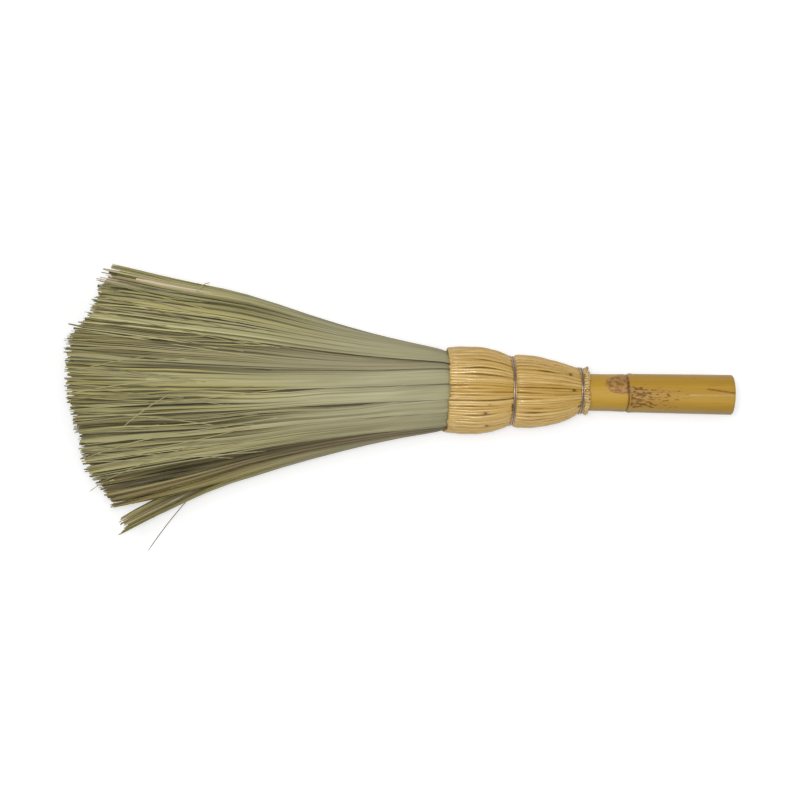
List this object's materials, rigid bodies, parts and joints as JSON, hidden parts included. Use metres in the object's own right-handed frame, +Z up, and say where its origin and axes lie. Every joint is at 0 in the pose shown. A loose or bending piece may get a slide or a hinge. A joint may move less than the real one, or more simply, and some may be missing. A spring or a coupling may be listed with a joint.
{
  "type": "leaf broom",
  "caption": "Short-handled broom: a fan of split palm leaf tied round a bamboo handle, under a sleeve of folded straw stalks bound with wire.",
  "frame": {"origin": "middle of the broom's footprint on the floor it lies on", "axes": "+X along the handle towards the grip's end, +Y across the fan, +Z up from the floor"},
  "size_m": [0.4952, 0.2048, 0.071],
  "materials": {
    "bamboo": "satin, weathered culm skin",
    "palm_leaf": "matt dried leaf",
    "straw": "satin dried stalk",
    "galvanised_wire": "dull galvanised",
    "nail_steel": "bright drawn"
  },
  "bodies": {
    "root": {"bamboo_handle": "bamboo", "foot_nail": "nail_steel", "leaf_bundle_left": "palm_leaf", "leaf_bundle_top": "palm_leaf", "leaf_bundle_right": "palm_leaf", "leaf_bundle_bottom": "palm_leaf", "inner_tie_wire": "galvanised_wire", "middle_wire": "galvanised_wire", "neck_wire": "galvanised_wire", "sleeve_stalk_01": "straw", "sleeve_stalk_02": "straw", "sleeve_stalk_03": "straw", "sleeve_stalk_04": "straw", "sleeve_stalk_05": "straw", "sleeve_stalk_06": "straw", "sleeve_stalk_07": "straw", "sleeve_stalk_08": "straw", "sleeve_stalk_09": "straw", "sleeve_stalk_10": "straw", "sleeve_stalk_11": "straw", "sleeve_stalk_12": "straw", "sleeve_stalk_13": "straw", "sleeve_stalk_14": "straw", "sleeve_stalk_15": "straw", "sleeve_stalk_16": "straw", "sleeve_stalk_17": "straw", "sleeve_stalk_18": "straw", "sleeve_stalk_19": "straw", "sleeve_stalk_20": "straw", "sleeve_stalk_21": "straw", "sleeve_stalk_22": "straw", "sleeve_stalk_23": "straw", "sleeve_stalk_24": "straw", "sleeve_stalk_25": "straw", "sleeve_stalk_26": "straw", "sleeve_stalk_27": "straw", "sleeve_stalk_28": "straw", "sleeve_stalk_29": "straw", "sleeve_stalk_30": "straw", "sleeve_stalk_31": "straw", "sleeve_stalk_32": "straw", "sleeve_stalk_33": "straw", "sleeve_stalk_34": "straw", "sleeve_stalk_35": "straw", "sleeve_stalk_36": "straw", "sleeve_stalk_37": "straw", "sleeve_stalk_38": "straw", "sleeve_stalk_39": "straw", "sleeve_stalk_40": "straw", "sleeve_stalk_41": "straw", "sleeve_stalk_42": "straw", "sleeve_stalk_43": "straw", "sleeve_stalk_44": "straw"}
  },
  "joints": []
}
